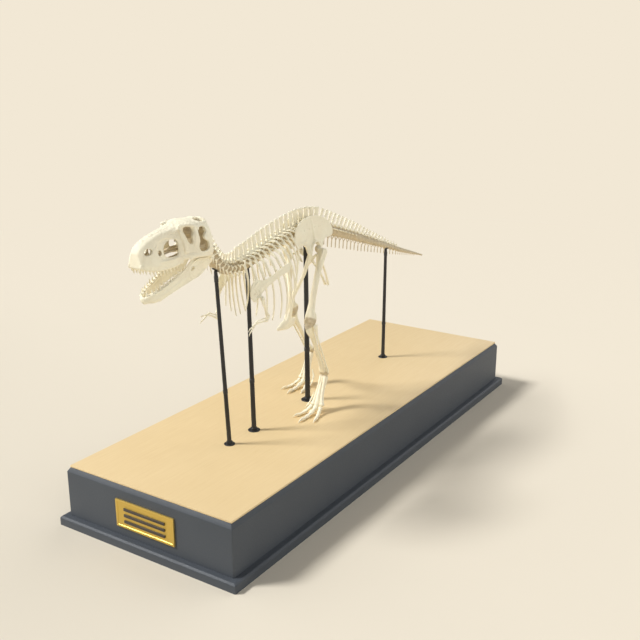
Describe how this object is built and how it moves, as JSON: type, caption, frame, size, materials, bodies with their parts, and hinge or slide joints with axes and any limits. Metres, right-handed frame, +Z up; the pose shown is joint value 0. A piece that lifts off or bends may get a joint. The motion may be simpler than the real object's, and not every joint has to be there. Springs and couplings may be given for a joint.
{
  "type": "mounted tyrannosaurus skeleton",
  "caption": "Life-size mounted tyrannosaur skeleton with an open jaw, striding on a long stepped museum base, held by leaning steel rods, with a plaque on the front end.",
  "frame": {"origin": "on the floor, under the middle of the base", "axes": "+Z up; +Y along the base towards the tail, so the head points to -Y; +X to the animal's left; the backbone lies in the plane x = 0"},
  "size_m": [4.326, 11.896, 6.0269],
  "materials": {
    "bone": "matt pale fossil bone, slightly porous",
    "base_board": "satin pale timber board",
    "base_paint": "satin dark slate paint on timber",
    "steel_paint": "satin black",
    "plaque_brass": "polished",
    "plaque_enamel": "matt dark enamel"
  },
  "bodies": {
    "root": {"base_body": "base_paint", "base_foot": "base_paint", "base_top": "base_board", "femur_left": "bone", "femur_right": "bone", "fibula_left": "bone", "fibula_right": "bone", "flange_hip": "steel_paint", "flange_neck": "steel_paint", "flange_shoulder": "steel_paint", "flange_tail": "steel_paint", "hand_left": "bone", "hand_right": "bone", "humerus_left": "bone", "humerus_right": "bone", "ilium_left": "bone", "ilium_right": "bone", "ischium_left": "bone", "ischium_right": "bone", "lower_jaw": "bone", "metatarsus_left": "bone", "metatarsus_right": "bone", "neck": "bone", "plaque": "plaque_brass", "plaque_line_1": "plaque_enamel", "plaque_line_2": "plaque_enamel", "plaque_line_3": "plaque_enamel", "pubes": "bone", "radius_left": "bone", "radius_right": "bone", "rib_cage_left": "bone", "rib_cage_right": "bone", "rod_hip": "steel_paint", "rod_neck": "steel_paint", "rod_shoulder": "steel_paint", "rod_tail": "steel_paint", "sacrum": "bone", "scapula_left": "bone", "scapula_right": "bone", "skull": "bone", "tail_base": "bone", "tail_middle": "bone", "tail_tip": "bone", "tibia_left": "bone", "tibia_right": "bone", "toe_first_left": "bone", "toe_first_right": "bone", "toe_inner_left": "bone", "toe_inner_right": "bone", "toe_middle_left": "bone", "toe_middle_right": "bone", "toe_outer_left": "bone", "toe_outer_right": "bone", "ulna_left": "bone", "ulna_right": "bone"}
  },
  "joints": []
}
